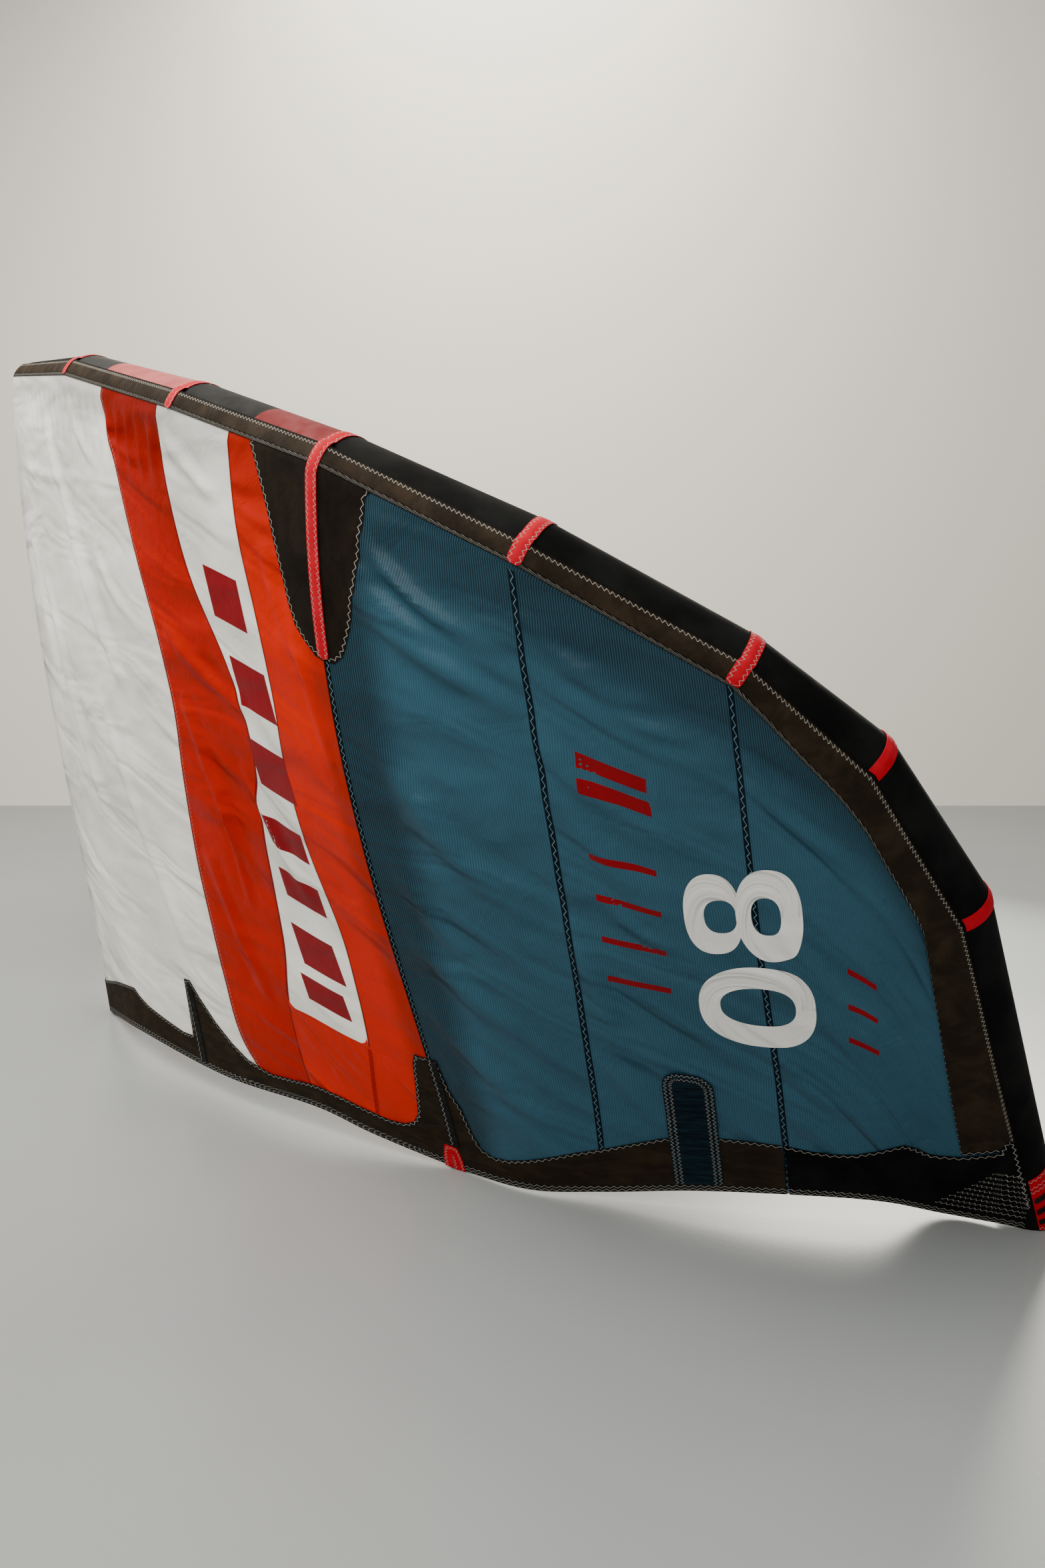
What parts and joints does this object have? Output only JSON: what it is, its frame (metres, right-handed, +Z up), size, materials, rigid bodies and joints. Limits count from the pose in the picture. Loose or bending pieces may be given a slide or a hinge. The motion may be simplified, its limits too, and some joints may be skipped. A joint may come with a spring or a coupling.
{
  "type": "inflated kitesurfing kite",
  "caption": "Inflated kitesurfing kite standing on its trailing edge: black leading-edge tube, three struts, sewn canopy in white, red, orange and blue.",
  "frame": {"origin": "middle of the footprint on the floor", "axes": "+X along the span towards the right wing tip, +Y from the centre of the canopy towards the wing tips, +Z up"},
  "size_m": [4.2308, 1.7867, 1.8052],
  "materials": {
    "tube": "satin coated polyester sailcloth, black",
    "tape": "matt woven tape, crimson",
    "edge_strip": "coated cloth, worn brown-black",
    "strut_patch": "coated cloth, dark brown-black",
    "edge_band": "coated cloth, brown-black",
    "tip_patch": "coated cloth, black",
    "white_cloth": "thin ripstop polyester, white",
    "red_cloth": "thin ripstop polyester, red",
    "orange_cloth": "thin ripstop polyester, orange-red",
    "blue_cloth": "thin ripstop polyester, dark blue",
    "pocket": "webbing, navy",
    "strut": "satin coated polyester sailcloth, black"
  },
  "bodies": {
    "root": {"canopy_white_centre": "white_cloth", "canopy_red_right": "red_cloth", "canopy_red_left": "red_cloth", "canopy_white_band_right": "white_cloth", "canopy_white_band_left": "white_cloth", "canopy_orange_right": "orange_cloth", "canopy_orange_left": "orange_cloth", "canopy_blue_inner_right": "blue_cloth", "canopy_blue_inner_left": "blue_cloth", "canopy_blue_middle_right": "blue_cloth", "canopy_blue_middle_left": "blue_cloth", "canopy_blue_tip_right": "blue_cloth", "canopy_blue_tip_left": "blue_cloth", "leading_edge_strip": "edge_strip", "strut_root_patch_right": "strut_patch", "strut_root_patch_left": "strut_patch", "trailing_edge_band_right": "edge_band", "trailing_edge_band_left": "edge_band", "tip_patch_right": "tip_patch", "tip_patch_left": "tip_patch", "batten_pocket_right": "pocket", "batten_pocket_left": "pocket", "tube_centre": "tube", "tube_1_right": "tube", "tube_1_left": "tube", "tube_2_right": "tube", "tube_2_left": "tube", "tube_3_right": "tube", "tube_3_left": "tube", "tube_4_right": "tube", "tube_4_left": "tube", "tube_5_right": "tube", "tube_5_left": "tube", "tube_6_right": "tube", "tube_6_left": "tube", "tube_7_right": "tube", "tube_7_left": "tube", "seam_tape_1_right": "tape", "seam_tape_1_left": "tape", "seam_tape_2_right": "tape", "seam_tape_2_left": "tape", "seam_tape_4_right": "tape", "seam_tape_4_left": "tape", "seam_tape_5_right": "tape", "seam_tape_5_left": "tape", "seam_tape_6_right": "tape", "seam_tape_6_left": "tape", "seam_tape_7_right": "tape", "seam_tape_7_left": "tape", "strut_strap_right": "tape", "strut_strap_left": "tape", "tip_cover_right": "tape", "tip_cover_left": "tape", "strut_centre": "strut", "strut_right": "strut", "strut_left": "strut", "strut_cap_centre": "tape", "strut_cap_right": "tape", "strut_cap_left": "tape"}
  },
  "joints": []
}
